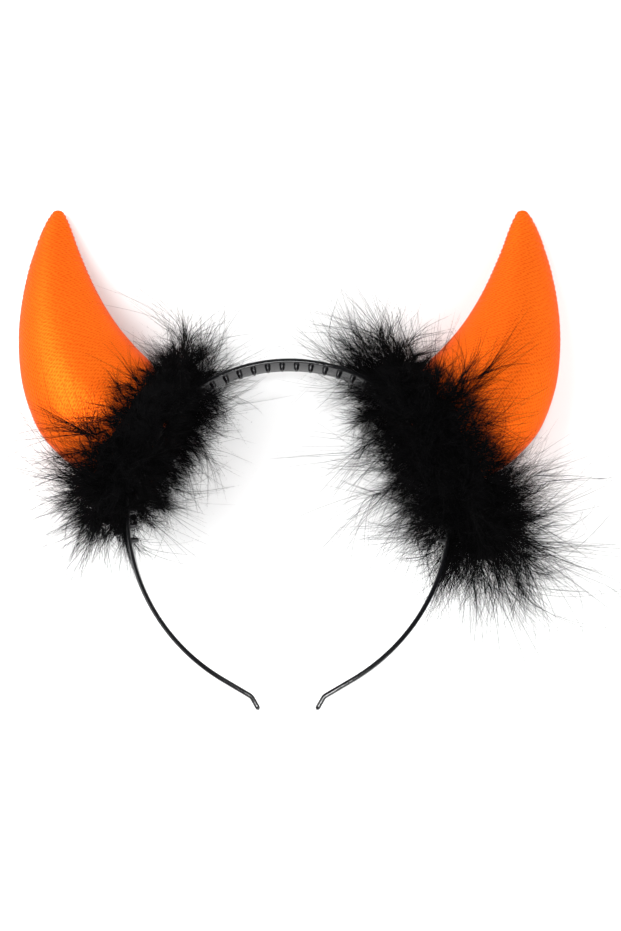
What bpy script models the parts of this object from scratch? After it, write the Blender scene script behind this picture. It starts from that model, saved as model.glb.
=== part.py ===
"""Devil horns headband: a thin moulded alice band with comb teeth, two padded horns, and a
feather boa wound once round the root of each horn.

The pieces are modelled upright: X runs across the head, Y from front to back, and Z up from
the temples. One empty then lays them on their back, the way the thing rests on a table: on
its two boas and the tips of its horns, with the ends of its arms raised.
"""

import math
import random

import bmesh
import bpy
import numpy as np
from mathutils import Matrix, Vector

# Sizes of the headband, in metres. The path is that of the middle of its thickness.
temple_half_width = 0.0635
crown_rise = 0.0605
crown_flat = 0.0028
arm_radius = 0.078
arm_sweep = math.radians(60)
arm_end_run = 0.0115
tip_turn = math.radians(30)
tip_run = 0.0048
band_thickness = 0.0018
crown_depth = 0.0115
tip_depth = 0.0050
band_edge = 0.00045
facet_length = 0.0045

# Comb teeth inside the crown
tooth_pitch = 0.0060
teeth_on_each_side = 19
tooth_length = 0.0028
tooth_width = 0.0023
tooth_depth = 0.0042
tooth_setback = 0.0009
tooth_taper = 0.75

# Padded horns, as seen from the front: the root sits on the band, the tip points up.
horn_root_angle = math.radians(63)
horn_tip_reach = 0.0985
horn_tip_rise = 0.1300
horn_tip_lean = math.radians(1)
horn_root_handle = 0.0500
horn_tip_handle = 0.0100
horn_half_width = 0.0270
horn_half_depth = 0.0160
horn_sides = 12
seam_sharpness = 0.5
# Share of the way from root to tip, share of the half width, share of the half depth
horn_sections = (
    (0.00, 0.84, 0.92),
    (0.10, 0.96, 1.00),
    (0.20, 1.00, 1.00),
    (0.32, 0.89, 0.92),
    (0.46, 0.71, 0.77),
    (0.60, 0.52, 0.58),
    (0.74, 0.34, 0.40),
    (0.87, 0.20, 0.25),
    (0.96, 0.10, 0.13),
)

# Feather boas: a round core wound about the horn's root, every outer face drawn into a lock
core_radius = 0.0065
core_bite = 0.0010
core_stations = 26
core_sides = 6
lying_mat = 0.0010
lock_reach = 0.0215
lock_reach_spread = 0.0040
lock_curl = 0.20
lock_waves = 3
band_berth = 0.0035
temple_end_fullness = 0.25
right_boa_drop = 0.0110
# Face of the core counted from its outermost one, lean of its locks along the horn in
# degrees, and their lean where the core lies on the table
lock_rows = (
    (0, 0, 0),
    (1, 48, 72),
    (2, 86, 98),
    (-1, -48, -72),
    (-2, -86, -98),
)
# Share of a lock's reach, share of the size of the face it grows from
lock_sections = (
    (0.40, 0.84),
    (0.75, 0.46),
)

# Gap kept between pieces that touch
clearance = 0.0003

# Where the horn clears its boa, and how many places of it beyond are tried on the table
free_horn_start = 0.4
horn_samples = 61

parts = bpy.data.collections.new("devil horns headband")
cutters = bpy.data.collections.new("cutters")


def start_scene():
    for item in list(bpy.data.objects):
        bpy.data.objects.remove(item, do_unlink=True)
    bpy.context.scene.collection.children.link(parts)
    bpy.context.scene.collection.children.link(cutters)


def make_material(name, colour, roughness, metallic=0.0):
    material = bpy.data.materials.new(name)
    material.use_nodes = True
    shader = material.node_tree.nodes["Principled BSDF"]
    shader.inputs["Base Color"].default_value = (*colour, 1.0)
    shader.inputs["Roughness"].default_value = roughness
    shader.inputs["Metallic"].default_value = metallic
    return material


def make_object(name, mesh_or_builder, collection, material=None):
    """An object made from a mesh, or from a bmesh that is turned into one."""
    mesh = mesh_or_builder
    if isinstance(mesh_or_builder, bmesh.types.BMesh):
        mesh = bpy.data.meshes.new(name)
        mesh_or_builder.to_mesh(mesh)
        mesh_or_builder.free()
    item = bpy.data.objects.new(name, mesh)
    collection.objects.link(item)
    if material is not None:
        mesh.materials.clear()
        mesh.materials.append(material)
    if collection is cutters:
        item.hide_render = True
        item.display_type = "WIRE"
    return item


def add_boolean(item, operation, other):
    change = item.modifiers.new(operation.lower(), "BOOLEAN")
    change.operation = operation
    change.object = other


def loft(builder, rings, tip=None):
    """Skins a list of rings of points, with a flat cap at the start, and a flat cap or a
    single point at the end."""
    rows = [[builder.verts.new(point) for point in ring] for ring in rings]
    count = len(rows[0])
    for low, high in zip(rows, rows[1:]):
        for k in range(count):
            after = (k + 1) % count
            builder.faces.new((low[k], low[after], high[after], high[k]))
    builder.faces.new(list(reversed(rows[0])))
    if tip is None:
        builder.faces.new(rows[-1])
        return rows
    point = builder.verts.new(tip)
    for k in range(count):
        builder.faces.new((rows[-1][k], rows[-1][(k + 1) % count], point))
    return rows


def face_outwards(builder):
    bmesh.ops.recalc_face_normals(builder, faces=builder.faces[:])
    if builder.calc_volume(signed=True) < 0.0:
        bmesh.ops.reverse_faces(builder, faces=builder.faces[:])


# The band's path

def heading_vector(heading):
    """A unit vector in the band's plane: heading 0 points along +X, and it turns down."""
    return Vector((math.cos(heading), 0.0, -math.sin(heading)))


def outward_vector(heading):
    """The band's outward normal where the path has this heading."""
    return Vector((math.sin(heading), 0.0, math.cos(heading)))


def crown_station(angle):
    """A point of the crown's half ellipse, and the heading of the path there."""
    point = Vector((temple_half_width * math.sin(angle), 0.0, crown_rise * math.cos(angle)))
    heading = math.atan2(crown_rise * math.sin(angle), temple_half_width * math.cos(angle))
    return point, heading


def band_path():
    """Stations of the right half, from the crown to the end of the arm: point, heading and
    distance along the path from the middle of the crown."""
    flat_angle = math.asin(crown_flat / 2 / temple_half_width)
    quarter = math.pi / 2
    steps = math.ceil(quarter * (temple_half_width + crown_rise) / 2 / facet_length)
    angles = [flat_angle + (quarter - flat_angle) * k / steps for k in range(steps + 1)]
    route = [crown_station(angle) for angle in angles]

    def advance(distance, turn, pieces):
        for _ in range(pieces):
            point, heading = route[-1]
            middle = heading + turn / pieces / 2
            route.append((point + heading_vector(middle) * distance / pieces, heading + turn / pieces))

    advance(arm_radius * arm_sweep, arm_sweep, math.ceil(arm_radius * arm_sweep / facet_length))
    advance(arm_end_run, 0.0, 2)
    advance(band_thickness, -tip_turn, 2)
    advance(tip_run, 0.0, 2)

    stations = []
    travelled = crown_flat / 2
    for index, (point, heading) in enumerate(route):
        if index:
            travelled += (point - route[index - 1][0]).length
        stations.append((point, heading, travelled))
    return stations


def along_band(stations, distance):
    """The point and heading at a distance along the path."""
    travelled = [station[2] for station in stations]
    columns = [[*station[0], station[1]] for station in stations]
    x, y, z, heading = (np.interp(distance, travelled, column) for column in zip(*columns))
    return Vector((x, y, z)), heading


def band_ring(point, heading, half_thickness, half_depth, edge, inward=0.0):
    """The band's section: flat inside, with its two outer edges eased."""
    corners = (
        (half_thickness, edge - half_depth),
        (half_thickness, half_depth - edge),
        (half_thickness - edge, half_depth),
        (-half_thickness - inward, half_depth),
        (-half_thickness - inward, -half_depth),
        (half_thickness - edge, -half_depth),
    )
    outward = outward_vector(heading)
    return [point + outward * radial + Vector((0.0, depth, 0.0)) for radial, depth in corners]


def band_rings(stations, grow=0.0, inward=0.0):
    """Sections of the right half, with one more station that reaches past the middle."""
    total = stations[-1][2]
    rings = []
    start = stations[0][0] - Vector((crown_flat, 0.0, 0.0))
    for point, heading, travelled in [(start, 0.0, 0.0)] + stations:
        depth = crown_depth + (tip_depth - crown_depth) * travelled / total
        edge = band_edge if grow == 0.0 else grow
        heading = 0.0 if travelled <= crown_flat / 2 else heading
        rings.append(band_ring(point, heading, band_thickness / 2 + grow, depth / 2 + grow, edge, inward))
    return rings


def build_headband(stations, material):
    builder = bmesh.new()
    rings = band_rings(stations)
    point, heading, _ = stations[-1]
    end = point + heading_vector(heading) * band_thickness / 2
    rings.append(band_ring(end, heading, band_thickness / 4, tip_depth / 3, band_edge))
    loft(builder, rings)
    face_outwards(builder)
    band = make_object("headband", builder, parts, material)
    add_boolean(band, "UNION", build_teeth(stations))
    mirror = band.modifiers.new("other half", "MIRROR")
    mirror.use_bisect_axis[0] = True
    mirror.merge_threshold = 0.00002
    return band


def build_teeth(stations):
    """Tapered pegs with their roots sunk in the band's inner face."""
    builder = bmesh.new()
    sunk = band_thickness / 3
    height = tooth_length + sunk
    for index in range(teeth_on_each_side):
        point, heading = along_band(stations, (index + 0.5) * tooth_pitch)
        outward = outward_vector(heading)
        share = (index + 0.5) * tooth_pitch / stations[-1][2]
        front = -(crown_depth + (tip_depth - crown_depth) * share) / 2
        middle = point - outward * (band_thickness / 2 - sunk + height / 2)
        middle.y = front + tooth_setback + tooth_depth / 2
        frame = Matrix((heading_vector(heading), Vector((0.0, 1.0, 0.0)), -outward)).transposed().to_4x4()
        frame.translation = middle
        size = Matrix.Diagonal((tooth_width / 2, tooth_depth / 2, height, 1.0))
        bmesh.ops.create_cone(builder, cap_ends=True, segments=6, radius1=1.0, radius2=tooth_taper,
                              depth=1.0, matrix=frame @ size)
    face_outwards(builder)
    return make_object("teeth", builder, cutters)


def build_head_cutter(stations):
    """Everything inside the band's outer face, with the clearance that a horn keeps to it."""
    outer = band_thickness / 2 + clearance
    right = [point + outward_vector(heading) * outer for point, heading, _ in stations]
    outline = right + [Vector((-point.x, 0.0, point.z)) for point in reversed(right)]
    curve = bpy.data.curves.new("head shape", "CURVE")
    curve.dimensions = "2D"
    curve.fill_mode = "BOTH"
    curve.extrude = 2 * horn_half_depth
    spline = curve.splines.new("POLY")
    spline.points.add(len(outline) - 1)
    for handle, point in zip(spline.points, outline):
        handle.co = (point.x, point.z, 0.0, 1.0)
    spline.use_cyclic_u = True
    item = bpy.data.objects.new("head shape", curve)
    cutters.objects.link(item)
    item.rotation_euler.x = math.pi / 2
    return curve_to_mesh(item)


def curve_to_mesh(item):
    """Swaps a curve for a mesh object with its caps welded on."""
    bpy.context.view_layer.update()
    evaluated = item.evaluated_get(bpy.context.evaluated_depsgraph_get())
    mesh = bpy.data.meshes.new_from_object(evaluated)
    mesh.transform(item.matrix_world)
    builder = bmesh.new()
    builder.from_mesh(mesh)
    bmesh.ops.remove_doubles(builder, verts=builder.verts[:], dist=0.00001)
    face_outwards(builder)
    name = item.name
    bpy.data.objects.remove(item, do_unlink=True)
    bpy.data.meshes.remove(mesh)
    return make_object(name, builder, cutters)


# The horns

def horn_frame():
    """Where the right horn's root meets the band's outer face, and its outward direction."""
    point, heading = crown_station(horn_root_angle)
    outward = outward_vector(heading)
    return point + outward * (band_thickness / 2 + clearance), outward


def horn_axis(share):
    """A point of the horn's centre line and the direction there. Below share 0 the line
    runs straight on into the band."""
    root, outward = horn_frame()
    lean = Vector((math.sin(horn_tip_lean), 0.0, math.cos(horn_tip_lean)))
    tip = Vector((horn_tip_reach, 0.0, horn_tip_rise))
    handles = (root, root + outward * horn_root_handle, tip - lean * horn_tip_handle, tip)
    s = max(share, 0.0)
    weights = ((1 - s) ** 3, 3 * s * (1 - s) ** 2, 3 * s * s * (1 - s), s ** 3)
    point = sum((handle * weight for handle, weight in zip(handles, weights)), Vector())
    slopes = ((1 - s) ** 2, 2 * s * (1 - s), s * s)
    steps = [after - before for before, after in zip(handles, handles[1:])]
    direction = sum((step * slope for step, slope in zip(steps, slopes)), Vector()).normalized()
    return point, direction


def horn_size(share):
    """Half width and half depth of the horn at a share of its length."""
    shares, widths, depths = zip(*horn_sections, (1.0, 0.0, 0.0))
    return (horn_half_width * float(np.interp(share, shares, widths)),
            horn_half_depth * float(np.interp(share, shares, depths)))


def horn_ring(share, grow=0.0, sunk=0.0):
    """One section of the horn: two curved panels that meet in a seam at each edge. The
    cage is swollen by as much as the smoothing draws it in."""
    point, direction = horn_axis(share)
    across = Vector((direction.z, 0.0, -direction.x))
    half_width, half_depth = horn_size(share)
    swell = 3 / (2 + math.cos(math.tau / horn_sides))
    ring = []
    for k in range(horn_sides):
        angle = math.tau * k / horn_sides
        sideways = across * (half_width + grow) * math.cos(angle)
        bulge = math.sin(angle) * (half_depth + grow)
        ring.append(point - direction * sunk + (sideways + Vector((0.0, bulge, 0.0))) * swell)
    return ring


def build_horn_form(name, side, collection, material=None, grow=0.0):
    """A coarse cage with a creased seam along both edges, smoothed once."""
    rings = [horn_ring(0.0, grow, horn_half_width / 2)]
    rings += [horn_ring(share, grow) for share, _, _ in horn_sections]
    tip, direction = horn_axis(1.0)
    builder = bmesh.new()
    crease = builder.edges.layers.float.new("crease_edge")
    rows = loft(builder, rings, tip + direction * (clearance + grow))
    for low, high in zip(rows, rows[1:]):
        for k in (0, horn_sides // 2):
            builder.edges.get((low[k], high[k]))[crease] = seam_sharpness
    bmesh.ops.scale(builder, vec=(side, 1.0, 1.0), verts=builder.verts[:])
    face_outwards(builder)
    item = make_object(name, builder, collection, material)
    smooth = item.modifiers.new("smooth", "SUBSURF")
    smooth.levels = 1
    smooth.render_levels = 1
    return item


def build_horn(name, side, material, head_cutter):
    horn = build_horn_form(name, side, parts, material)
    add_boolean(horn, "DIFFERENCE", head_cutter)
    return horn


# The boas

def height_over_band(point, stations):
    """Distance from a point outside the band to the middle of its outer face."""
    outer = [station + outward_vector(heading) * band_thickness / 2 for station, heading, _ in stations]
    return min((point - place).length for place in outer)


def ring_frame(stations, drop):
    """Centre of the boa's ring, its axis, and its half sizes along the band and in depth.
    The ends of the ring press on the band, and its sides on the horn."""
    root, axis = horn_frame()
    half_width, half_depth = horn_size(0.0)
    beside = core_radius - core_bite
    half_width += beside
    end = root + Vector((axis.z, 0.0, -axis.x)) * half_width
    lift = core_radius - core_bite - height_over_band(end, stations)
    return root + axis * lift, axis, half_width, half_depth + beside, drop


def ring_station(frame, turn):
    """A point of the ring, the way along it and the way out from the horn. Turn 0 is the
    end by the temple, which hangs lower by the drop, and a quarter turn is the rear."""
    centre, axis, half_width, half_depth, drop = frame
    down = Vector((axis.z, 0.0, -axis.x))
    back = Vector((0.0, 1.0, 0.0))
    reach = half_width + drop * max(math.cos(turn), 0.0) ** 2
    point = centre + down * reach * math.cos(turn) + back * half_depth * math.sin(turn)
    along = (back * half_depth * math.cos(turn) - down * reach * math.sin(turn)).normalized()
    return point, along, along.cross(axis).normalized()


def lying_plane(stations):
    """The table as the upright model sees it: tilt, upward direction and height along it.
    It touches the rear of the boas and the horns."""
    centre, _, _, half_depth, _ = ring_frame(stations, 0.0)
    rear = half_depth + core_radius + lying_mat
    slopes = []
    for share in np.linspace(free_horn_start, 1.0, horn_samples):
        height = horn_axis(share)[0].z - centre.z
        slopes.append(math.atan2(rear - horn_size(share)[1], height))
    tilt = min(slopes)
    up = Vector((0.0, -math.cos(tilt), -math.sin(tilt)))
    return tilt, up, Vector((0.0, rear, centre.z)).dot(up)


def add_lock(builder, base, centre_line):
    """Draws one face of the core out into a tapered lock that ends in a point."""
    middle = sum((vertex.co for vertex in base), Vector()) / len(base)
    offsets = [vertex.co - middle for vertex in base]
    low = base
    for (_, share), point in zip(lock_sections, centre_line):
        high = [builder.verts.new(point + offset * share) for offset in offsets]
        for k, vertex in enumerate(low):
            after = (k + 1) % len(low)
            builder.faces.new((vertex, low[after], high[after], high[k]))
        low = high
    tip = builder.verts.new(centre_line[-1])
    for k, vertex in enumerate(low):
        builder.faces.new((vertex, low[(k + 1) % len(low)], tip))


def lock_line(root, direction, bend, reach, up, floor):
    """A lock's centre line from its first section to its tip, kept above the table."""
    line = []
    for share in [row[0] for row in lock_sections] + [1.0]:
        point = root + direction * reach * share + bend * reach * share * share
        thick = core_radius / 2 * (1.0 - share) + lying_mat / 2
        line.append(point + up * max(floor + thick - point.dot(up), 0.0))
    return line


def station_turn(index):
    """The turn of one station of the ring, none of which meets a seam of the horn."""
    return math.tau * (index + 0.25) / core_stations


def core_rows(builder, frame):
    """Rings of points round the core, one at each station of the boa's ring."""
    rows = []
    for index in range(core_stations):
        point, _, out = ring_station(frame, station_turn(index))
        row = []
        for k in range(core_sides):
            angle = math.tau * (k - 0.5) / core_sides
            around = out * math.cos(angle) + frame[1] * math.sin(angle)
            row.append(builder.verts.new(point + around * core_radius))
        rows.append(row)
    return rows


def build_boa_form(name, side, material, stations, seed, drop):
    """The core with its locks, as one closed skin. A lock's lean is between the way out
    from the horn and the way along it; locks that would meet the band are left out."""
    draw = random.Random(seed)
    frame = ring_frame(stations, drop)
    axis = frame[1]
    _, up, floor = lying_plane(stations)
    builder = bmesh.new()
    rows = core_rows(builder, frame)
    leans = {face % core_sides: (lean, lying) for face, lean, lying in lock_rows}
    for index in range(core_stations):
        turn = station_turn(index)
        point, along, out = ring_station(frame, turn + math.pi / core_stations)
        pressed = max(-out.dot(up), 0.0)
        bend = along * math.sin(turn * lock_waves) * lock_curl
        fullness = 1.0 + temple_end_fullness * max(math.cos(turn), 0.0)
        near_band = abs(point.y) < crown_depth / 2 + band_berth
        low, high = rows[index], rows[(index + 1) % core_stations]
        for k in range(core_sides):
            after = (k + 1) % core_sides
            base = (low[k], low[after], high[after], high[k])
            if k not in leans or (near_band and leans[k][0] < 0):
                builder.faces.new(base)
                continue
            lean, lying = leans[k]
            angle = math.radians(lean + (lying - lean) * pressed)
            direction = out * math.cos(angle) + axis * math.sin(angle)
            reach = lock_reach * fullness + draw.uniform(-lock_reach_spread, lock_reach_spread)
            fall = -direction.dot(up)
            if fall > 0.0:
                reach = min(reach, (point.dot(up) - floor) / fall)
            root = sum((vertex.co for vertex in base), Vector()) / len(base)
            grown = reach - (root - point).length
            add_lock(builder, base, lock_line(root, direction, bend, grown, up, floor))
    bmesh.ops.scale(builder, vec=(side, 1.0, 1.0), verts=builder.verts[:])
    face_outwards(builder)
    return make_object(name, builder, parts, material)


def build_band_cutter(stations, side):
    """The room that the band and its teeth take in the boa."""
    builder = bmesh.new()
    loft(builder, band_rings(stations, clearance, tooth_length))
    bmesh.ops.scale(builder, vec=(side, 1.0, 1.0), verts=builder.verts[:])
    face_outwards(builder)
    return make_object("band room", builder, cutters)


def build_boa(name, side, material, stations, seed, drop):
    boa = build_boa_form(name, side, material, stations, seed, drop)
    add_boolean(boa, "DIFFERENCE", build_horn_form("horn room", side, cutters, grow=clearance))
    add_boolean(boa, "DIFFERENCE", build_band_cutter(stations, side))
    return boa


def lay_down(pieces, tilt):
    """Lays the upright model on its back, with its lowest point at height 0."""
    back = bpy.data.objects.new("lying on its back", None)
    parts.objects.link(back)
    for item in pieces + list(cutters.objects):
        item.parent = back
    back.rotation_euler.x = -(math.pi / 2 + tilt)
    bpy.context.view_layer.update()
    graph = bpy.context.evaluated_depsgraph_get()
    corners = []
    for piece in pieces:
        evaluated = piece.evaluated_get(graph)
        corners += [evaluated.matrix_world @ vertex.co for vertex in evaluated.data.vertices]
    lows = [min(corner[k] for corner in corners) for k in range(3)]
    highs = [max(corner[k] for corner in corners) for k in range(3)]
    back.location = (-(lows[0] + highs[0]) / 2, -(lows[1] + highs[1]) / 2, -lows[2])


def main():
    start_scene()
    plastic = make_material("black plastic", (0.006, 0.006, 0.008), 0.22)
    satin = make_material("orange satin", (0.96, 0.19, 0.02), 0.42)
    down = make_material("black down", (0.005, 0.005, 0.006), 0.85)
    stations = band_path()
    head_cutter = build_head_cutter(stations)
    pieces = [build_headband(stations, plastic)]
    for name, side in (("left", -1), ("right", 1)):
        pieces.append(build_horn("horn_" + name, side, satin, head_cutter))
    pieces.append(build_boa("marabou_left", -1, down, stations, 3, 0.0))
    pieces.append(build_boa("marabou_right", 1, down, stations, 8, right_boa_drop))
    lay_down(pieces, lying_plane(stations)[0])


main()
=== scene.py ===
"""Devil horns headband lying on a pale table: a glossy moulded band with comb teeth, two
stuffed satin horns, and a black marabou boa wound round the root of each horn.

The forms are worked out upright, as the thing is worn: X across the head, Y from front to
back, Z up from the temples. lay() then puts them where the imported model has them.
"""

import math

import bpy
import numpy as np
from mathutils import Matrix, Vector


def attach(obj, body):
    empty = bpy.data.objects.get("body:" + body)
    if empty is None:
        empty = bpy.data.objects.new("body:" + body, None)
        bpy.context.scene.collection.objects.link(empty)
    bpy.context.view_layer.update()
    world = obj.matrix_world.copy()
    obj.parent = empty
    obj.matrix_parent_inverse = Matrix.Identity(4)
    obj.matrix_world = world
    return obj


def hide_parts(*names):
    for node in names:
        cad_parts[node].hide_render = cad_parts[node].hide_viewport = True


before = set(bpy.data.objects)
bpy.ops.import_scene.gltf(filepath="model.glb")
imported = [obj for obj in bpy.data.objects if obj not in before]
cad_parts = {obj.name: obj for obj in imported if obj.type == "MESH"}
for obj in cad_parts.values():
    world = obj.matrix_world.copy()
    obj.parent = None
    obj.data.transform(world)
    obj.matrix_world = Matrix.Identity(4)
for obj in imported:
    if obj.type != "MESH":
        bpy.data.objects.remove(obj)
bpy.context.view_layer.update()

# How the upright model lies on the table
lying_tilt = math.radians(13.88246)
lying_shift = (0.0, -0.024163, 0.033919)

# Headband, in metres
temple_half_width = 0.0635
crown_rise = 0.0605
arm_radius = 0.078
arm_sweep = math.radians(60)
arm_end_run = 0.0115
tip_turn = math.radians(30)
tip_run = 0.0048
band_thickness = 0.0018
crown_depth = 0.0115
tip_depth = 0.0050
band_round = 0.00055
tooth_pitch = 0.0060
teeth_on_each_side = 19
tooth_length = 0.0028
tooth_width = 0.0023
tooth_depth = 0.0042
tooth_setback = 0.0009
# Comb tooth: share of its length from the band, and its size there as a share of the full one.
# A size of 0 closes it.
tooth_profile = (
    (-0.35, 0.00),
    (-0.35, 1.35),
    (0.00, 1.18),
    (0.12, 1.02),
    (0.35, 0.96),
    (0.60, 0.88),
    (0.80, 0.80),
    (0.91, 0.68),
    (0.97, 0.47),
    (1.00, 0.16),
    (1.00, 0.00),
)
tooth_columns = 14
# How far from its ends the band starts to round off, and how much shallower it gets
tip_round = 0.0012
tip_narrowing = 0.0009
crown_steps = 110
arm_steps = 90
end_steps = 8
tip_steps = 10
corner_steps = 5

# Horns
horn_root_angle = math.radians(63)
horn_tip_reach = 0.0985
horn_tip_rise = 0.1300
horn_tip_lean = math.radians(1)
horn_root_handle = 0.0500
horn_tip_handle = 0.0100
horn_half_width = 0.0270
horn_half_depth = 0.0160
# Share of the way to the tip, then half width and half depth as shares of the full ones
horn_sections = (
    (0.00, 0.84, 0.92),
    (0.10, 0.96, 1.00),
    (0.20, 1.00, 1.00),
    (0.32, 0.89, 0.92),
    (0.46, 0.71, 0.77),
    (0.60, 0.52, 0.58),
    (0.74, 0.34, 0.40),
    (0.87, 0.20, 0.25),
    (0.96, 0.10, 0.13),
)
horn_cap_share = 0.96
seam_point = 1.22
seam_groove = 0.00028
stitch_pitch = 0.0026
pucker_depth = 0.00030
# How far in from a seam its groove, its puckers and its stitched edge reach
groove_reach = 0.0005
pucker_reach = 0.0030
edge_reach = 0.0015
edge_wobble = 0.00020
edge_pitch = 0.0021
stuffing_hollows = 9
horn_rows = 150
horn_cap_rows = 14
horn_half_columns = 56
seam_crowding = 0.11
section_smoothing = 41
# The cloth's places for the rows that close the root, and its girth to half width
root_rows = (-0.02, -0.01, -0.005)
cloth_girth = 2.6

# Boas
core_radius = 0.0065
core_bite = 0.0010
# Shafts lean over the horn and over the head by up to this many degrees
shaft_lean = 112
pressed_lean = 22
shaft_steps = 8
shaft_share = 0.72
shaft_bend = 1.1
barbs_in_plume = 15
barb_steps = 5
barb_width = 0.00020
barb_bend = 1.05
wisps_in_tuft = 7
wisp_steps = 8
wisp_width = 0.00017
underdown_steps = 3
underdown_length = 0.0068
strand_taper = 0.35
strand_gap = 0.0004
barbules_on_wisps = 0.45
barbule_width = 0.00008
barbule_length = 0.0016
mat_share = 0.30
mat_least = 0.0078
mat_rows = 120
mat_columns = 20
mat_lumps = 0.10
mat_roughness = 0.06
floor_gap = 0.0004
clearance = 0.0003
# Turn round the ring in degrees (0 is the temple end, 90 the rear, 180 the crown end, 270
# the front), and how far the down reaches from the core: outward, over the horn, over the head
left_reach = (
    (0, 0.0220, 0.0220, 0.0170),
    (90, 0.0190, 0.0200, 0.0150),
    (180, 0.0280, 0.0090, 0.0160),
    (215, 0.0190, 0.0080, 0.0145),
    (230, 0.0165, 0.0090, 0.0130),
    (250, 0.0160, 0.0160, 0.0115),
    (270, 0.0165, 0.0220, 0.0140),
    (283, 0.0170, 0.0270, 0.0160),
    (300, 0.0180, 0.0360, 0.0175),
    (325, 0.0190, 0.0260, 0.0145),
)
right_reach = (
    (0, 0.0440, 0.0280, 0.0290),
    (90, 0.0200, 0.0200, 0.0170),
    (180, 0.0340, 0.0060, 0.0270),
    (215, 0.0200, 0.0070, 0.0190),
    (232, 0.0180, 0.0090, 0.0145),
    (243, 0.0190, 0.0230, 0.0130),
    (256, 0.0190, 0.0300, 0.0165),
    (270, 0.0190, 0.0380, 0.0225),
    (283, 0.0190, 0.0180, 0.0370),
    (300, 0.0205, 0.0200, 0.0440),
    (325, 0.0235, 0.0300, 0.0245),
    (342, 0.0290, 0.0290, 0.0245),
)
right_boa_drop = 0.0110
# How much longer the loose wisps are at the temple end than the table says
left_stray = 0.42
right_stray = 0.12
# How many plumes, tufts of wisps, hairs of underdown and barbules each boa has
left_amounts = (950, 1000, 7000, 90000)
right_amounts = (1450, 1300, 9500, 115000)

# The photograph's camera
camera_place = (0.0086, -0.0253, 0.5294)
camera_way = (0.0, 0.0366, -0.9993)
camera_up = (0.0, 0.9993, 0.0366)
camera_lens = 48.335
camera_sensor = 36.0

# Name, place, target, size and power of each light
lights = (
    ("key", (-0.64, 0.20, 0.80), (0.0, 0.0, 0.02), 0.75, 9.0),
    ("fill", (0.35, -0.62, 0.75), (0.0, 0.0, 0.02), 0.80, 6.5),
    ("glint", (0.00, 0.085, 0.80), (0.0, 0.03, 0.02), 0.10, 1.5),
)
table_half_size = 4.0


def lay(points):
    """Upright points as they lie on the table."""
    points = np.asarray(points, dtype=float)
    c, s = math.cos(lying_tilt), math.sin(lying_tilt)
    x, y, z = points[..., 0], points[..., 1], points[..., 2]
    laid = np.stack((x, z * c - y * s, -y * c - z * s), axis=-1)
    return laid + np.array(lying_shift)


def unit(vectors):
    """Vectors of length one along the given ones."""
    return vectors / np.maximum(np.linalg.norm(vectors, axis=-1, keepdims=True), 1e-12)


def make_mesh(name, points, faces, material, smooth=True, uv=None):
    """An object made from arrays of points and of faces, with one material."""
    points = np.asarray(points, dtype=np.float32)
    faces = np.asarray(faces, dtype=np.int32)
    mesh = bpy.data.meshes.new(name)
    count, corners = faces.shape
    mesh.vertices.add(len(points))
    mesh.vertices.foreach_set("co", points.ravel())
    mesh.loops.add(count * corners)
    mesh.loops.foreach_set("vertex_index", faces.ravel())
    mesh.polygons.add(count)
    mesh.polygons.foreach_set("loop_start", np.arange(count, dtype=np.int32) * corners)
    mesh.polygons.foreach_set("use_smooth", np.full(count, smooth))
    if uv is not None:
        layer = mesh.uv_layers.new(name="cloth")
        layer.data.foreach_set("uv", np.asarray(uv, dtype=np.float32)[faces.ravel()].ravel())
    mesh.update(calc_edges=True)
    mesh.validate()
    mesh.materials.append(material)
    item = bpy.data.objects.new(name, mesh)
    bpy.context.scene.collection.objects.link(item)
    return item


def grid_faces(rows, columns):
    """Quads between closed rows of points that are stored one row after another."""
    k, j = np.meshgrid(np.arange(rows - 1), np.arange(columns), indexing="ij")
    after = (j + 1) % columns
    quads = np.stack((k * columns + j, k * columns + after, (k + 1) * columns + after,
                      (k + 1) * columns + j), axis=-1)
    return quads.reshape(-1, 4)


# Materials

def shader_material(name):
    """A new material with its node tree and its surface shader."""
    material = bpy.data.materials.new(name)
    material.use_nodes = True
    return material, material.node_tree, material.node_tree.nodes["Principled BSDF"]


def object_place(tree):
    """A point's place in its own object, in metres."""
    return tree.nodes.new("ShaderNodeTexCoord").outputs["Object"]


def add_noise(tree, vector, scale, detail=2.0):
    """Soft noise over the given coordinates."""
    noise = tree.nodes.new("ShaderNodeTexNoise")
    noise.inputs["Scale"].default_value = scale
    noise.inputs["Detail"].default_value = detail
    tree.links.new(vector, noise.inputs["Vector"])
    return noise.outputs["Fac"]


def add_threads(tree, vector, turn, pitch, distortion):
    """Threads side by side in the cloth, turned by degrees."""
    turned = tree.nodes.new("ShaderNodeMapping")
    turned.inputs["Rotation"].default_value = (0.0, 0.0, math.radians(turn))
    tree.links.new(vector, turned.inputs["Vector"])
    wave = tree.nodes.new("ShaderNodeTexWave")
    # At scale 1 this texture has 20 radians a metre
    wave.inputs["Scale"].default_value = 1.0 / pitch / 20.0 * math.tau
    wave.inputs["Distortion"].default_value = distortion
    wave.inputs["Detail"].default_value = 1.0
    wave.inputs["Detail Scale"].default_value = 1.5
    tree.links.new(turned.outputs["Vector"], wave.inputs["Vector"])
    return wave.outputs["Fac"]


def add_span(tree, factor, low, high):
    """Maps a factor of 0 to 1 onto the span from low to high."""
    span = tree.nodes.new("ShaderNodeMapRange")
    span.inputs["To Min"].default_value = low
    span.inputs["To Max"].default_value = high
    tree.links.new(factor, span.inputs["Value"])
    return span.outputs["Result"]


def add_mix(tree, factor, first, second):
    """A colour between two constant ones."""
    mix = tree.nodes.new("ShaderNodeMix")
    mix.data_type = "RGBA"
    mix.inputs["A"].default_value = first
    mix.inputs["B"].default_value = second
    tree.links.new(factor, mix.inputs["Factor"])
    return mix.outputs["Result"]


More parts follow.
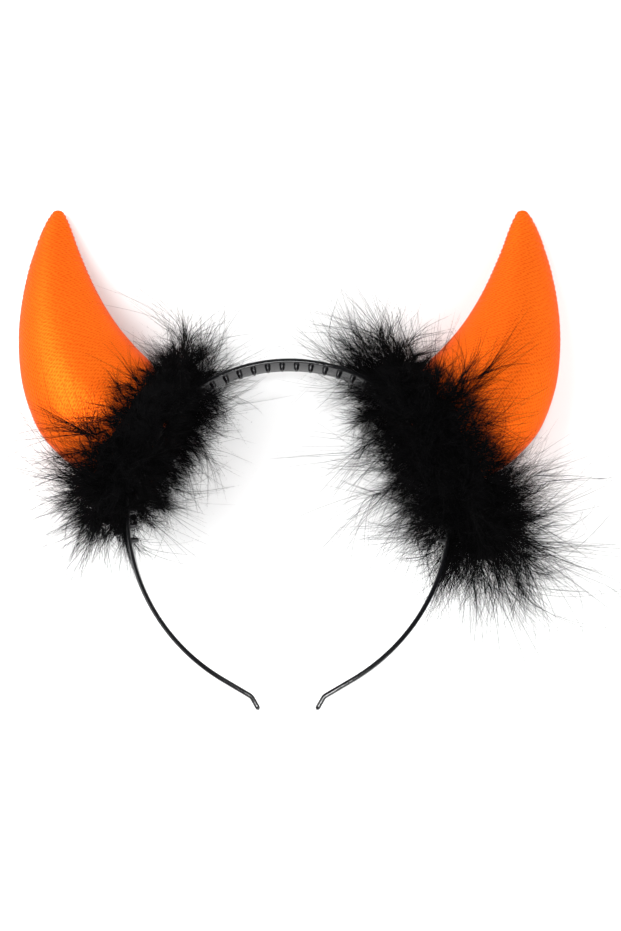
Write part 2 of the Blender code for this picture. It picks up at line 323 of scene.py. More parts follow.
def add_product(tree, first, second):
    """The product of two sockets."""
    product = tree.nodes.new("ShaderNodeMath")
    product.operation = "MULTIPLY"
    tree.links.new(first, product.inputs[0])
    tree.links.new(second, product.inputs[1])
    return product.outputs["Value"]


def add_bump(tree, shader, height, strength, distance):
    """Lets a height bend the shader's normals."""
    bump = tree.nodes.new("ShaderNodeBump")
    bump.inputs["Strength"].default_value = strength
    bump.inputs["Distance"].default_value = distance
    tree.links.new(height, bump.inputs["Height"])
    tree.links.new(bump.outputs["Normal"], shader.inputs["Normal"])


def plastic_material():
    """Black moulded plastic, glossy, with a faint unevenness from the mould."""
    material, tree, shader = shader_material("black plastic")
    shader.inputs["Base Color"].default_value = (0.0045, 0.0045, 0.0055, 1.0)
    shader.inputs["IOR"].default_value = 1.45
    grain = add_noise(tree, object_place(tree), scale=260.0, detail=4.0)
    tree.links.new(add_span(tree, grain, 0.06, 0.13), shader.inputs["Roughness"])
    add_bump(tree, shader, grain, strength=0.08, distance=0.0004)
    return material


def satin_material():
    """Orange polyester satin: diagonal float threads, a tinted sheen and soft dyeing."""
    material, tree, shader = shader_material("orange satin")
    shader.inputs["Metallic"].default_value = 0.50
    shader.inputs["Anisotropic"].default_value = 0.55
    shader.inputs["Anisotropic Rotation"].default_value = 0.25
    shader.inputs["Specular IOR Level"].default_value = 0.10
    shader.inputs["Specular Tint"].default_value = (1.0, 0.30, 0.04, 1.0)
    grainline = tree.nodes.new("ShaderNodeTangent")
    grainline.direction_type = "UV_MAP"
    grainline.uv_map = "cloth"
    tree.links.new(grainline.outputs["Tangent"], shader.inputs["Tangent"])
    cloth_node = tree.nodes.new("ShaderNodeUVMap")
    cloth_node.uv_map = "cloth"
    cloth = cloth_node.outputs["UV"]
    twill = add_threads(tree, cloth, turn=52, pitch=0.0009, distortion=4.5)
    cross = add_threads(tree, cloth, turn=-35, pitch=0.0011, distortion=4.0)

    # Dyed cloth, darker where the two threads cross, unevenly
    dye = add_noise(tree, object_place(tree), scale=34.0, detail=3.0)
    dyed = add_mix(tree, dye, (0.78, 0.108, 0.0075, 1.0), (0.90, 0.160, 0.0090, 1.0))
    slub = add_noise(tree, cloth, scale=1100.0, detail=2.0)
    crossings = tree.nodes.new("ShaderNodeMath")
    crossings.operation = "MULTIPLY"
    crossings.use_clamp = True
    crossings.inputs[1].default_value = 3.2
    tree.links.new(add_product(tree, add_product(tree, twill, cross), slub), crossings.inputs[0])
    weave = tree.nodes.new("ShaderNodeMix")
    weave.data_type = "RGBA"
    weave.blend_type = "MULTIPLY"
    weave.inputs["B"].default_value = (0.84, 0.62, 0.50, 1.0)
    tree.links.new(crossings.outputs["Value"], weave.inputs["Factor"])
    tree.links.new(dyed, weave.inputs["A"])
    tree.links.new(weave.outputs["Result"], shader.inputs["Base Color"])
    tree.links.new(add_span(tree, twill, 0.29, 0.42), shader.inputs["Roughness"])

    relief = tree.nodes.new("ShaderNodeMath")
    relief.operation = "MULTIPLY_ADD"
    relief.inputs[1].default_value = 0.5
    tree.links.new(cross, relief.inputs[0])
    tree.links.new(twill, relief.inputs[2])
    add_bump(tree, shader, relief.outputs["Value"], strength=0.45, distance=0.00012)
    return material


def down_material():
    """Dyed black down: nearly no shine, slightly paler in patches."""
    material, tree, shader = shader_material("black down")
    shader.inputs["Specular IOR Level"].default_value = 0.06
    patches = add_noise(tree, object_place(tree), scale=160.0, detail=2.0)
    dyed = add_mix(tree, patches, (0.0004, 0.0004, 0.0006, 1.0), (0.0024, 0.0022, 0.0026, 1.0))
    tree.links.new(dyed, shader.inputs["Base Color"])
    tree.links.new(add_span(tree, patches, 0.70, 0.90), shader.inputs["Roughness"])
    return material


def floor_material():
    """A pale, matt table top with hardly any variation."""
    material, tree, shader = shader_material("pale table")
    shader.inputs["Roughness"].default_value = 0.75
    shader.inputs["Specular IOR Level"].default_value = 0.2
    grain = add_noise(tree, object_place(tree), scale=3.0)
    pale = add_mix(tree, grain, (0.93, 0.93, 0.93, 1.0), (0.955, 0.955, 0.955, 1.0))
    tree.links.new(pale, shader.inputs["Base Color"])
    return material


# The headband

def band_line():
    """Fine stations of the band's right half: x, z, heading and distance from the crown."""
    angles = np.linspace(0.0, math.pi / 2, crown_steps)
    x = list(temple_half_width * np.sin(angles))
    z = list(crown_rise * np.cos(angles))
    heading = list(np.arctan2(crown_rise * np.sin(angles), temple_half_width * np.cos(angles)))

    def advance(distance, turn, pieces):
        for _ in range(pieces):
            middle = heading[-1] + turn / pieces / 2
            x.append(x[-1] + math.cos(middle) * distance / pieces)
            z.append(z[-1] - math.sin(middle) * distance / pieces)
            heading.append(heading[-1] + turn / pieces)

    advance(arm_radius * arm_sweep, arm_sweep, arm_steps)
    advance(arm_end_run, 0.0, end_steps)
    advance(band_thickness, -tip_turn, end_steps)
    advance(tip_run, 0.0, tip_steps)
    x, z, heading = (np.array(column) for column in (x, z, heading))
    travelled = np.concatenate(([0.0], np.cumsum(np.hypot(np.diff(x), np.diff(z)))))
    return x, z, heading, travelled


def rounded_section(half_thickness, half_depth, radius):
    """The band's outline, thickness by depth, with rounded corners."""
    points = []
    for across, deep, start in ((1, 1, 0), (-1, 1, 1), (-1, -1, 2), (1, -1, 3)):
        for k in range(corner_steps + 1):
            angle = math.pi / 2 * (start + k / corner_steps)
            points.append((across * (half_thickness - radius) + radius * math.cos(angle),
                           deep * (half_depth - radius) + radius * math.sin(angle)))
    return np.array(points)


def band_mesh():
    """The band without its teeth, as rings of points from tip to tip."""
    x, z, heading, travelled = band_line()
    x = np.concatenate((-x[:0:-1], x))
    z = np.concatenate((z[:0:-1], z))
    heading = np.concatenate((-heading[:0:-1], heading))
    travelled = np.concatenate((-travelled[:0:-1], travelled))
    total = travelled[-1]
    rings = []
    for px, pz, turn, way in zip(x, z, heading, travelled):
        depth = crown_depth + (tip_depth - crown_depth) * abs(way) / total
        to_end = min((total - abs(way)) / tip_round, 1.0)
        rounding = math.sqrt(max(1.0 - (1.0 - to_end) ** 2, 0.0))
        half_thickness = band_thickness / 2 * max(rounding, 0.05)
        half_depth = depth / 2 - tip_narrowing * (1.0 - rounding)
        radius = min(band_round, half_thickness * 0.98)
        section = rounded_section(half_thickness, half_depth, radius)
        radial, deep = section[:, 0], section[:, 1]
        rings.append(np.stack((px + radial * math.sin(turn), deep, pz + radial * math.cos(turn)), axis=1))
    # Each end is closed by a ring whose points all lie at its middle
    ends = [np.tile(ring.mean(axis=0), (len(ring), 1)) for ring in (rings[0], rings[-1])]
    rings = [ends[0]] + rings + [ends[1]]
    return np.concatenate(rings), grid_faces(len(rings), len(rings[0]))[:, ::-1]


def tooth_mesh(middle_x, middle_z, heading, front):
    """One comb tooth: a tapered oval peg with a domed end and a small fillet at its root."""
    along = np.array((math.cos(heading), 0.0, -math.sin(heading)))
    inward = -np.array((math.sin(heading), 0.0, math.cos(heading)))
    deep = np.array((0.0, 1.0, 0.0))
    base = np.array((middle_x, front + tooth_setback + tooth_depth / 2, middle_z))
    base = base + inward * band_thickness / 2
    rings = []
    for share, size in tooth_profile:
        for k in range(tooth_columns):
            angle = math.tau * k / tooth_columns
            rings.append(base + inward * tooth_length * share
                         + along * tooth_width / 2 * size * math.cos(angle)
                         + deep * tooth_depth / 2 * size * math.sin(angle))
    return np.array(rings), grid_faces(len(tooth_profile), tooth_columns)[:, ::-1]


def build_headband(material):
    """The band with a row of comb teeth on each side of its middle."""
    points, faces = band_mesh()
    all_points, all_faces = [points], [faces]
    x, z, heading, travelled = band_line()
    offset = len(points)
    for index in range(teeth_on_each_side):
        way = (index + 0.5) * tooth_pitch
        place = [float(np.interp(way, travelled, column)) for column in (x, z, heading)]
        front = -(crown_depth + (tip_depth - crown_depth) * way / travelled[-1]) / 2
        tooth, tooth_faces = tooth_mesh(*place, front)
        for side in (-1, 1):
            all_points.append(tooth * np.array((side, 1.0, 1.0)))
            all_faces.append((tooth_faces if side > 0 else tooth_faces[:, ::-1]) + offset)
            offset += len(tooth)
    points, faces = np.concatenate(all_points), np.concatenate(all_faces)
    return make_mesh("headband_moulding", lay(points), faces, material)


# The horns

def horn_root():
    """The middle of the right horn's root, on the band, and the way out from there."""
    x = temple_half_width * math.sin(horn_root_angle)
    z = crown_rise * math.cos(horn_root_angle)
    heading = math.atan2(crown_rise * math.sin(horn_root_angle),
                         temple_half_width * math.cos(horn_root_angle))
    outward = np.array((math.sin(heading), 0.0, math.cos(heading)))
    return np.array((x, 0.0, z)) + outward * (band_thickness / 2 + clearance), outward


def horn_axis(share):
    """Points of the right horn's centre line and the directions there."""
    root, outward = horn_root()
    lean = np.array((math.sin(horn_tip_lean), 0.0, math.cos(horn_tip_lean)))
    tip = np.array((horn_tip_reach, 0.0, horn_tip_rise))
    handles = (root, root + outward * horn_root_handle, tip - lean * horn_tip_handle, tip)
    s = np.clip(np.asarray(share, dtype=float), 0.0, 1.0)[..., None]
    point = (handles[0] * (1 - s) ** 3 + handles[1] * 3 * s * (1 - s) ** 2
             + handles[2] * 3 * s * s * (1 - s) + handles[3] * s ** 3)
    slope = ((handles[1] - handles[0]) * (1 - s) ** 2 + (handles[2] - handles[1]) * 2 * s * (1 - s)
             + (handles[3] - handles[2]) * s * s)
    return point, unit(slope)


def horn_size(share):
    """Half width and half depth of the horn, with the table's corners smoothed away."""
    shares, widths, depths = zip(*horn_sections)
    fine = np.linspace(-0.1, 1.1, 481)
    window = np.hanning(section_smoothing)
    window /= window.sum()
    body = np.minimum(share, horn_cap_share)
    sizes = []
    for table, full in ((widths, horn_half_width), (depths, horn_half_depth)):
        straight = np.interp(fine, shares, table)
        beyond = fine > shares[-1]
        straight[beyond] = table[-1] - (fine[beyond] - shares[-1]) * 0.9
        padded = np.pad(straight, section_smoothing // 2, mode="edge")
        smooth = np.convolve(padded, window, mode="valid")
        rounding = np.clip((share - horn_cap_share) / (1.0 - horn_cap_share), 0.0, 1.0)
        sizes.append(np.interp(body, fine, smooth) * np.sqrt(1.0 - rounding ** 2) * full)
    return sizes[0], sizes[1]


def band_drop(across):
    """How far below the horn's root plane the band's outer face lies, at a place across it."""
    root, outward = horn_root()
    sideways = np.array((outward[2], 0.0, -outward[0]))
    grow = band_thickness / 2 + clearance
    low, high = np.zeros_like(across), np.full_like(across, 0.03)
    for _ in range(30):
        middle = (low + high) / 2
        place = root + across[..., None] * sideways - middle[..., None] * outward
        inside = ((place[..., 0] / (temple_half_width + grow)) ** 2
                  + (place[..., 2] / (crown_rise + grow)) ** 2) < 1.0
        high = np.where(inside, middle, high)
        low = np.where(inside, low, middle)
    return (low + high) / 2


def horn_stations():
    """Shares of the way along a horn, closer together over its round tip, and angles
    round it, closer together at its seams."""
    over_tip = np.sin(np.linspace(0.0, math.pi / 2, horn_cap_rows)[1:])
    cap = 1.0 - (1.0 - horn_cap_share) * (1.0 - over_tip)
    shares = np.concatenate((np.linspace(0.0, horn_cap_share, horn_rows), cap))
    eased = np.linspace(0.0, 1.0, horn_half_columns, endpoint=False)
    eased = eased - seam_crowding * np.sin(math.tau * eased)
    return shares, np.concatenate((eased * math.pi, math.pi + eased * math.pi))


def wandering(draw, lengths, knots, least, most):
    """A value that wanders along the horn between evenly spaced knots."""
    return np.interp(lengths, np.linspace(0, lengths[-1], knots), draw.uniform(least, most, knots))


def uneven_stuffing(draw, lengths, half_width, cos, sin):
    """Soft hollows and swellings where the stuffing is uneven."""
    slack = np.zeros((len(lengths), len(cos)))
    for _ in range(stuffing_hollows):
        place = draw.uniform(0.1, 0.9) * lengths[-1]
        spot = draw.uniform(-0.7, 0.7)
        face = draw.choice((-1.0, 1.0))
        spread = draw.uniform(0.007, 0.014)
        lengthwise = (lengths[:, None] - place) / spread
        crosswise = (cos - spot) * half_width[:, None] / (spread * 0.6)
        height = draw.uniform(-0.0005, 0.0004)
        slack += height * np.exp(-lengthwise ** 2 - crosswise ** 2) * (np.sign(sin) == face)
    return slack


def cloth_places(lengths, half_width):
    """Places in the cloth in metres, round the horn and along it."""
    there = np.linspace(0, 1, horn_half_columns, endpoint=False)
    girth = np.concatenate((there, 1 - there))
    widths = np.concatenate(([half_width[0]] * len(root_rows), half_width))
    crosswise = (girth[None, :] - 0.5) * cloth_girth * widths[:, None]
    lengthwise = np.repeat(np.concatenate((root_rows, lengths))[:, None], len(girth), axis=1)
    return np.stack((crosswise, lengthwise), axis=-1).reshape(-1, 2)


def build_horn(name, side, material, seed):
    """A stuffed horn of two panels, puckered along its seams, that sits on the band."""
    draw = np.random.default_rng(seed)
    shares, angles = horn_stations()
    centre, direction = horn_axis(shares)
    across = np.stack((direction[:, 2], np.zeros(len(shares)), -direction[:, 0]), axis=1)
    half_width, half_depth = horn_size(shares)
    steps = np.linalg.norm(np.diff(centre, axis=0), axis=1)
    lengths = np.concatenate(([0.0], np.cumsum(steps)))
    cos, sin = np.cos(angles), np.sin(angles)
    wide = half_width[:, None] * cos
    deep = half_depth[:, None] * np.sign(sin) * np.abs(sin) ** seam_point

    # Distance in from the nearer seam, across the horn
    inset = (1.0 - np.abs(cos)) * half_width[:, None]
    seam_side = np.where(cos > 0, 1.0, -1.0)
    groove = seam_groove * np.exp(-(inset / groove_reach) ** 2)
    wander = wandering(draw, lengths, 40, -1.0, 1.0)
    phase = math.tau * lengths[:, None] / stitch_pitch + wander[:, None] * 2.2
    phase = phase + (seam_side + sin * 0.3) * 1.3
    strength = wandering(draw, lengths, 28, 0.25, 1.0)
    pucker = pucker_depth * strength[:, None] * np.exp(-inset / pucker_reach) * np.cos(phase)
    slack = uneven_stuffing(draw, lengths, half_width, cos, sin)
    taper = np.clip((1.0 - shares) / 0.12, 0.0, 1.0)[:, None]
    deep = deep + (pucker + slack) * taper * np.sign(sin) * np.clip(np.abs(sin) * 3, 0, 1)
    wide = wide - groove * seam_side * taper

    # The upper half's stitched edge is slightly scalloped
    edge = np.clip(1.0 - inset / edge_reach, 0.0, 1.0)
    edge = edge * np.clip((shares - 0.5) / 0.1, 0.0, 1.0)[:, None]
    scallops = np.cos(math.tau * lengths / edge_pitch + wander)[:, None]
    wide = wide + seam_side * edge * edge_wobble * scallops

    low = band_drop(wide[0])
    points = centre[:, None, :] + across[:, None, :] * wide[..., None]
    points = points + deep[..., None] * np.array((0.0, 1.0, 0.0))
    points[-1] = points[-1].mean(axis=0)
    skirt = [points[0] - direction[0] * (low * share)[:, None] for share in (1.0, 0.5)]
    closing = np.repeat(skirt[0].mean(axis=0, keepdims=True), len(angles), axis=0)
    points = np.concatenate((np.array([closing] + skirt), points))
    faces = grid_faces(len(points), len(angles))
    if side < 0:
        faces = faces[:, ::-1]
    points = points.reshape(-1, 3) * np.array((side, 1.0, 1.0))
    return make_mesh(name, lay(points), faces, material, uv=cloth_places(lengths, half_width))


# The boas

def ring_frame(drop):
    """Centre of a boa's ring, its axis, half size along the band and in depth, and drop."""
    root, axis = horn_root()
    half_width, half_depth = horn_size(np.array(0.0))
    beside = core_radius - core_bite
    half_width = float(half_width) + beside
    half_depth = float(half_depth) + beside
    sideways = np.array((axis[2], 0.0, -axis[0]))
    end = root + sideways * half_width
    x, z, heading, _ = band_line()
    outer_x = x + np.sin(heading) * band_thickness / 2
    outer_z = z + np.cos(heading) * band_thickness / 2
    height = float(np.min(np.hypot(outer_x - end[0], outer_z - end[2])))
    return root + axis * (core_radius - core_bite - height), axis, half_width, half_depth, drop


def ring_station(ring, turn):
    """Points of a ring's centre line, and the ways along it and out from its middle."""
    centre, axis, half_width, half_depth, drop = ring
    down = np.array((axis[2], 0.0, -axis[0]))
    back = np.array((0.0, 1.0, 0.0))
    cos, sin = np.cos(turn)[..., None], np.sin(turn)[..., None]
    reach = half_width + drop * np.maximum(cos, 0.0) ** 2
    point = centre + down * reach * cos + back * half_depth * sin
    along = unit(back * half_depth * cos - down * reach * sin)
    out = unit(np.cross(along, axis))
    return point, along, out


# The right horn and the band, as the strands meet them
horn_shares = np.linspace(0.0, 1.0, 60)
horn_line, horn_ways = horn_axis(horn_shares)
horn_widths, horn_depths = horn_size(horn_shares)
band_x, band_z, band_heading, _ = band_line()
table_up = np.array((0.0, -math.cos(lying_tilt), -math.sin(lying_tilt)))
arms_way = np.array((0.0, math.sin(lying_tilt), -math.cos(lying_tilt)))
# Where the down starts to be held back, and the farthest it comes, up, aside and by the arms
soft_bounds = (
    (table_up, lying_shift[2], 0.070, 0.080),
    (np.array((1.0, 0.0, 0.0)), 0.0, 0.115, 0.127),
    (arms_way, -lying_shift[1], 0.101, 0.116),
)


def out_of_horn(points):
    """Points, with those inside the right horn moved out to its surface."""
    flat = points[:, (0, 2)]
    away = ((flat[:, None, :] - horn_line[None, :, (0, 2)]) ** 2).sum(axis=-1)
    nearest = away.argmin(axis=1)
    centre, way = horn_line[nearest], horn_ways[nearest]
    sideways = np.stack((way[:, 2], np.zeros(len(way)), -way[:, 0]), axis=1)
    offset = points - centre
    wide = (offset * sideways).sum(axis=1)
    forward = (offset * way).sum(axis=1)
    deep = offset[:, 1]
    half_width, half_depth = horn_widths[nearest] + strand_gap, horn_depths[nearest] + strand_gap
    share = np.sqrt((wide / half_width) ** 2 + (deep / half_depth) ** 2)
    inside = (share < 1.0) & (forward > -0.02)
    scale = np.where(inside, 1.0 / np.maximum(share, 0.15), 1.0)
    pushed = centre + sideways * (wide * scale)[:, None] + way * forward[:, None]
    pushed[:, 1] += deep * scale
    return np.where(inside[:, None], pushed, points)


def off_band(points):
    """Points, with those in the band or close inside it lifted to its outer face."""
    away = (points[:, None, 0] - band_x[None, :]) ** 2 + (points[:, None, 2] - band_z[None, :]) ** 2
    nearest = away.argmin(axis=1)
    out_x, out_z = np.sin(band_heading[nearest]), np.cos(band_heading[nearest])
    height = (points[:, 0] - band_x[nearest]) * out_x + (points[:, 2] - band_z[nearest]) * out_z
    least = band_thickness / 2 + strand_gap
    beside = np.abs(points[:, 1]) < crown_depth / 2 + 0.0015
    by_band = beside & (height < least) & (height > -0.005)
    lift = np.where(by_band, least - height, 0.0)
    return points + np.stack((out_x * lift, np.zeros(len(lift)), out_z * lift), axis=1)


def within_bounds(points):
    """Points, softly held inside the bounds and lifted off the table."""
    for way, shift, soft, farthest in soft_bounds:
        room = farthest - soft
        far = points @ way + shift
        held = soft + room * np.tanh((far - soft) / room)
        points = points + way * np.where(far > soft, held - far, 0.0)[:, None]
    height = points @ table_up + lying_shift[2]
    return points + table_up * np.maximum(floor_gap - height, 0.0)[:, None]


def keep_clear(points):
    """Moves points out of the right horn, the band and the table."""
    return within_bounds(off_band(out_of_horn(points)))


def grow(roots, ways, lengths, bends, steps, turning=0.0):
    """Centre lines of strands that bend as they grow and slide along what they meet. Part
    of the bend turns back along the way, by the share turning."""
    lines = [roots]
    for k in range(steps):
        swing = 1.0 - 2.0 * turning * k / steps
        ways = unit(ways + bends * swing / steps)
        point = keep_clear(lines[-1] + ways * (lengths / steps)[:, None])
        ways = unit(point - lines[-1])
        lines.append(point)
    return np.stack(lines, axis=1)


def reach_round(table, turn, lean):
    """How far the down reaches from the core at a turn round the ring, for a lean over the
    horn (positive) or over the head (negative)."""
    degrees = np.degrees(turn) % 360
    turns = [row[0] for row in table] + [360]
    columns = [[row[k] for row in table] + [table[0][k]] for k in (1, 2, 3)]
    outward, over_horn, over_head = (np.interp(degrees, turns, column) for column in columns)
    aside = np.where(lean > 0, over_horn, over_head)
    return outward * np.cos(lean) ** 2 + aside * np.sin(lean) ** 2


def random_ways(draw, count):
    """Unit vectors that point anywhere."""
    return unit(draw.normal(size=(count, 3)))


def ribbons(lines, widths, facing):
    """Thin tapering strips along centre lines, each ending in a point."""
    count, stations, _ = lines.shape
    along = unit(np.gradient(lines, axis=1))
    across = unit(np.cross(along, facing[:, None, :]))
    taper = np.linspace(1.0, strand_taper, stations - 1)
    half = across[:, :-1] * (widths[:, None] * taper / 2)[..., None]
    left, right = lines[:, :-1] - half, lines[:, :-1] + half
    body = np.stack((left, right), axis=2).reshape(count, -1, 3)
    points = np.concatenate((body, lines[:, -1:]), axis=1)
    each = points.shape[1]
    pattern = []
    for k in range(stations - 2):
        a = 2 * k
        pattern += [(a, a + 1, a + 3), (a, a + 3, a + 2)]
    pattern.append((each - 3, each - 2, each - 1))
    faces = (np.arange(count) * each)[:, None, None] + np.array(pattern)[None]
    return points.reshape(-1, 3), faces.reshape(-1, 3)


def sideways_of(draw, headings):
    """Random directions at right angles to the given ones."""
    aside = random_ways(draw, len(headings))
    return unit(aside - headings * (aside * headings).sum(axis=1, keepdims=True))


def along_lines(lines, owner, share):
    """The places and headings at shares of the way along the owners' lines."""
    steps = lines.shape[1] - 1
    station = share * steps
    low = np.minimum(station.astype(int), steps - 1)
    part = (station - low)[:, None]
    start, end = lines[owner, low], lines[owner, low + 1]
    return start * (1 - part) + end * part, unit(end - start)


def grow_shafts(draw, ring, table, plumes):
    """Plume shafts, which are too thin to see, set out all round the core, more of them
    where the down is long. Gives their lines, the down's reach there and their turns."""
    round_ring = np.linspace(0.0, math.tau, 361)
    leans = (-math.pi / 2, 0, math.pi / 2)
    crowd = np.cumsum(sum(reach_round(table, round_ring, lean) for lean in leans))
    share = (np.arange(plumes) + draw.uniform(0, 1, plumes)) / plumes
    turn = np.interp(share, (crowd - crowd[0]) / (crowd[-1] - crowd[0]), round_ring)
    lean = np.radians(draw.uniform(-shaft_lean, shaft_lean, plumes))
    point, along, out = ring_station(ring, turn)
    # Over the table the shafts are pressed to either side
    pressed = np.maximum(-(out @ table_up), 0.0)
    lean = lean + np.radians(pressed_lean) * pressed * np.sign(lean)
    way = out * np.cos(lean)[:, None] + ring[1] * np.sin(lean)[:, None]
    way = unit(way + along * draw.normal(0.0, 0.42, plumes)[:, None])
    reach = reach_round(table, turn, lean) * draw.uniform(0.42, 1.10, plumes)
    start = keep_clear(point + way * core_radius * 0.75)
    bend = random_ways(draw, plumes) * shaft_bend
    return grow(start, way, reach * shaft_share, bend, shaft_steps), reach, turn


def grow_barbs(draw, shafts, reach):
    """Short barbs, which leave their shaft at an angle and trail on past its end."""
    count = len(shafts) * barbs_in_plume
    owner = np.repeat(np.arange(len(shafts)), barbs_in_plume)
    root, heading = along_lines(shafts, owner, draw.uniform(0.02, 1.0, count) ** 0.85)
    aside = sideways_of(draw, heading)
    spread = draw.uniform(0.15, 0.85, count)[:, None]
    way = unit(heading + aside * spread)
    length = reach[owner] * draw.uniform(0.30, 0.70, count)
    inward = -aside * spread * draw.uniform(0.1, 1.1, count)[:, None]
    bend = inward + random_ways(draw, count) * barb_bend
    return grow(root, way, length, bend, barb_steps)


def grow_wisps(draw, shafts, reach, tufts):
    """Long curved barbs in small tufts, which make the open fringe."""
    owner = draw.integers(0, len(shafts), tufts)
    share = draw.uniform(0.25, 0.95, tufts)
    tuft_bend = random_ways(draw, tufts) * draw.uniform(0.8, 3.0, tufts)[:, None]
    tuft_length = reach[owner] * (0.50 + 1.45 * draw.uniform(0, 1, tufts) ** 2)
    pick = np.repeat(np.arange(tufts), wisps_in_tuft)
    count = len(pick)
    share = np.clip(share[pick] + draw.normal(0, 0.06, count), 0, 1)
    root, heading = along_lines(shafts, owner[pick], share)
    way = unit(heading + sideways_of(draw, heading) * draw.uniform(0.0, 0.45, count)[:, None])
    bend = tuft_bend[pick] + random_ways(draw, count) * 0.35
    length = tuft_length[pick] * draw.uniform(0.65, 1.1, count)
    return grow(root, way, length, bend, wisp_steps, turning=0.6)


def grow_underdown(draw, ring, mat, count):
    """Short fluff that stands on the matted core and hides it."""
    pick = draw.integers(0, len(mat), count)
    turns = pick // mat_columns * math.tau / mat_rows
    centre, _, _ = ring_station(ring, turns)
    root = mat[pick] + random_ways(draw, count) * 0.0008
    way = unit(unit(mat[pick] - centre) + random_ways(draw, count) * 0.7)
    length = underdown_length * draw.uniform(0.6, 1.4, count)
    return grow(keep_clear(root), way, length, random_ways(draw, count) * 0.9, underdown_steps)


def grow_barbules(draw, lines, count):
    """Short hairs along the strands, as one thin triangle each."""
    pick = draw.integers(0, len(lines), count)
    share = draw.uniform(0.03, 1.0, count)
    root, heading = along_lines(lines, pick, share)
    way = unit(heading * draw.uniform(0.2, 1.1, count)[:, None] + sideways_of(draw, heading))
    length = barbule_length * draw.uniform(0.5, 1.4, count) * (1.15 - 0.75 * share)
    end = keep_clear(root + way * length[:, None])
    half = unit(np.cross(way, random_ways(draw, count))) * barbule_width / 2
    return np.stack((root - half, root + half, end), axis=1).reshape(-1, 3)


def matted_core(draw, ring, table):
    """The cord that the plumes are wound on, thick with their matted bases."""
    turns = np.linspace(0, math.tau, mat_rows + 1)
    turns[-1] = 0.0
    point, _, out = ring_station(ring, turns)
    around = np.linspace(0, math.tau, mat_columns, endpoint=False)
    lean = np.arctan2(np.sin(around), np.cos(around))[None, :]
    lumps = 1.0 + mat_lumps * np.sin(turns * 17)[:, None] * np.cos(around * 3 + 1)
    rough = draw.uniform(-mat_roughness, mat_roughness, (mat_rows, mat_columns))
    lumps = lumps + np.concatenate((rough, rough[:1]))
    matted = np.maximum(reach_round(table, turns[:, None], lean) * mat_share, mat_least)
    # Towards the horn it stays as thin as the solid's core
    radius = np.where(np.cos(around) > -0.3, matted, core_radius) * lumps
    points = (point[:, None, :] + out[:, None, :] * (np.cos(around) * radius)[..., None]
              + ring[1] * (np.sin(around) * radius)[..., None])
    return keep_clear(points.reshape(-1, 3))


def build_boa(material, name, node, side, table, drop, stray, amounts, seed):
    """A boa wound round a horn's root, as five pieces that stand for its solid."""
    draw = np.random.default_rng(seed)
    plumes, tufts, underdown, barbules = amounts
    ring = ring_frame(drop)
    mirror = np.array((side, 1.0, 1.0))
    shafts, reach, turn = grow_shafts(draw, ring, table, plumes)
    barbs = grow_barbs(draw, shafts, reach)
    at_temple = np.maximum(np.cos(turn), 0.0) ** 2
    wisps = grow_wisps(draw, shafts, reach * (1.0 + stray * at_temple), tufts)
    mat = matted_core(draw, ring, table)
    fluff = grow_underdown(draw, ring, mat[:-mat_columns], underdown)
    made = []
    for part, lines, width in (("barbs", barbs, barb_width), ("wisps", wisps, wisp_width),
                               ("fluff", fluff, barb_width)):
        widths = width * draw.uniform(0.7, 1.3, len(lines))
        points, faces = ribbons(lines, widths, random_ways(draw, len(lines)))
        made.append((part, points, faces, False))
    on_wisps = int(barbules * barbules_on_wisps)
    points = np.concatenate((grow_barbules(draw, barbs, barbules - on_wisps),
                             grow_barbules(draw, wisps, on_wisps)))
    made.append(("barbules", points, np.arange(len(points)).reshape(-1, 3), False))
    # Its faces look outward on both sides: mirroring turns them round on the left one
    core_faces = grid_faces(mat_rows + 1, mat_columns)
    made.append(("cord", mat, core_faces[:, ::-1] if side > 0 else core_faces, True))
    for part, points, faces, smooth in made:
        item = make_mesh(name + "_" + part, lay(points * mirror), faces, material, smooth)
        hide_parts(node)
        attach(item, "root")


# The camera and the studio

def add_camera():
    """The photograph's camera, above the table."""
    camera = bpy.data.objects.new("camera", bpy.data.cameras.new("camera"))
    camera.data.sensor_width = camera_sensor
    camera.data.lens = camera_lens
    camera.data.clip_start = 0.01
    away = -Vector(camera_way).normalized()
    up = Vector(camera_up).normalized()
    right = up.cross(away).normalized()
    turn = Matrix((right, away.cross(right), away)).transposed().to_4x4()
    camera.matrix_world = Matrix.Translation(Vector(camera_place)) @ turn
    bpy.context.scene.collection.objects.link(camera)
    bpy.context.scene.camera = camera


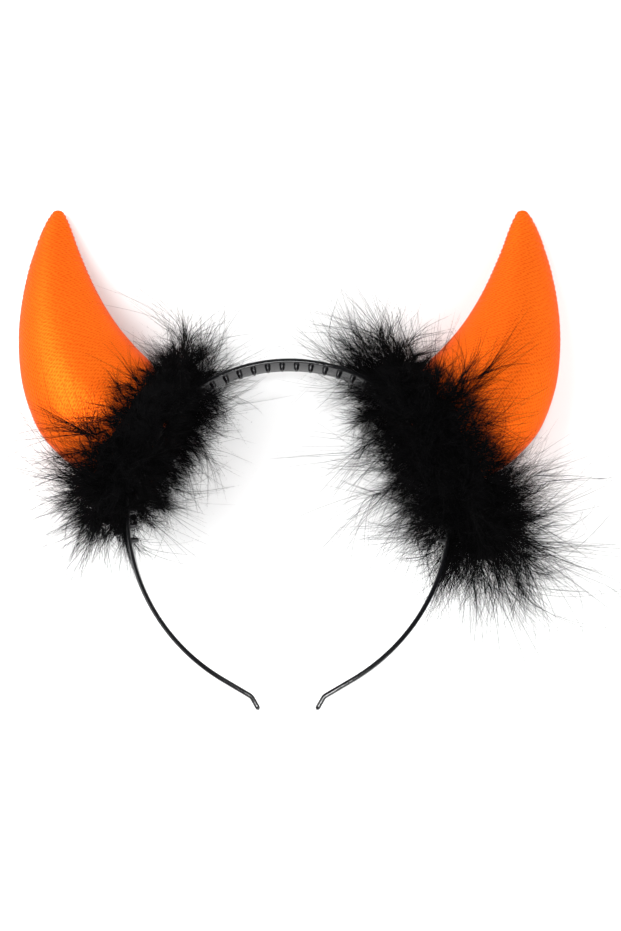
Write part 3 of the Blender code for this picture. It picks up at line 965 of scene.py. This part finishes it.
def add_light(name, place, target, size, power):
    """A square lamp that faces its target."""
    light = bpy.data.lights.new(name, "AREA")
    light.size = size
    light.energy = power
    item = bpy.data.objects.new(name, light)
    item.location = place
    item.rotation_euler = (Vector(target) - Vector(place)).to_track_quat("-Z", "Y").to_euler()
    bpy.context.scene.collection.objects.link(item)


def add_backdrop():
    """A world that is bright at the horizon and dim overhead."""
    world = bpy.data.worlds.new("studio")
    world.use_nodes = True
    bpy.context.scene.world = world
    nodes, links = world.node_tree.nodes, world.node_tree.links
    backdrop = nodes["Background"]
    backdrop.inputs["Color"].default_value = (1.0, 1.0, 1.0, 1.0)
    place = nodes.new("ShaderNodeTexCoord")
    split = nodes.new("ShaderNodeSeparateXYZ")
    links.new(place.outputs["Generated"], split.inputs["Vector"])
    falloff = nodes.new("ShaderNodeMapRange")
    falloff.interpolation_type = "SMOOTHSTEP"
    falloff.inputs["From Min"].default_value = 0.55
    falloff.inputs["From Max"].default_value = 0.93
    falloff.inputs["To Min"].default_value = 1.15
    falloff.inputs["To Max"].default_value = 0.03
    links.new(split.outputs["Z"], falloff.inputs["Value"])
    links.new(falloff.outputs["Result"], backdrop.inputs["Strength"])


def add_studio():
    """The table, the lights and the backdrop."""
    size = table_half_size
    points = ((-size, -size, 0.0), (size, -size, 0.0), (size, size, 0.0), (-size, size, 0.0))
    floor = make_mesh("table", points, ((0, 1, 2, 3),), floor_material(), smooth=False)
    for light in lights:
        add_light(*light)
    add_backdrop()
    bpy.context.scene.view_settings.view_transform = "Standard"


plastic = plastic_material()
satin = satin_material()
down = down_material()

headband = build_headband(plastic)
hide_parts("headband")
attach(headband, "root")

for horn_name, horn_side, horn_seed in (("left", -1, 11), ("right", 1, 12)):
    horn = build_horn(horn_name + "_satin_horn", horn_side, satin, horn_seed)
    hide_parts("horn_" + horn_name)
    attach(horn, "root")

build_boa(down, "left_boa", "marabou_left", -1, left_reach, 0.0, left_stray, left_amounts, 21)
build_boa(down, "right_boa", "marabou_right", 1, right_reach, right_boa_drop, right_stray,
          right_amounts, 22)

add_camera()
add_studio()
